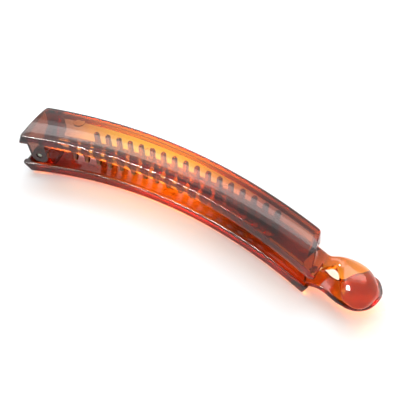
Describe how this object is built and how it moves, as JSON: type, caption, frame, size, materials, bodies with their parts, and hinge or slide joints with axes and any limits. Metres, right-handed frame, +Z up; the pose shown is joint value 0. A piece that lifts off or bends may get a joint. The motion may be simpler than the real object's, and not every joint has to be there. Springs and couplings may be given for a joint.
{
  "type": "banana hair clip",
  "caption": "Long curved hair clip of two combed channel arms, hinged at one end and closed by two curled tails that meet at the other.",
  "frame": {"origin": "middle of the footprint, on the surface that the lower arm lies on", "axes": "+X from the hinge end to the clasp end, +Y towards the convex side, +Z up"},
  "size_m": [0.1602, 0.0322, 0.0227],
  "materials": {
    "tortoiseshell_upper": "clear amber and brown tortoiseshell plastic, polished",
    "tortoiseshell_lower": "clear orange and dark brown tortoiseshell plastic, polished",
    "pin_steel": "drawn steel wire"
  },
  "bodies": {
    "lower": {"lower_arm": "tortoiseshell_lower", "hinge_pin": "pin_steel"},
    "upper": {"upper_arm": "tortoiseshell_upper"}
  },
  "joints": [
    {"name": "hinge", "type": "hinge", "parent": "lower", "child": "upper", "pos_m": [-0.06962, -0.00272, 0.01097], "axis": [0.3057, -0.9521, 0], "range_deg": [0, 55]}
  ]
}
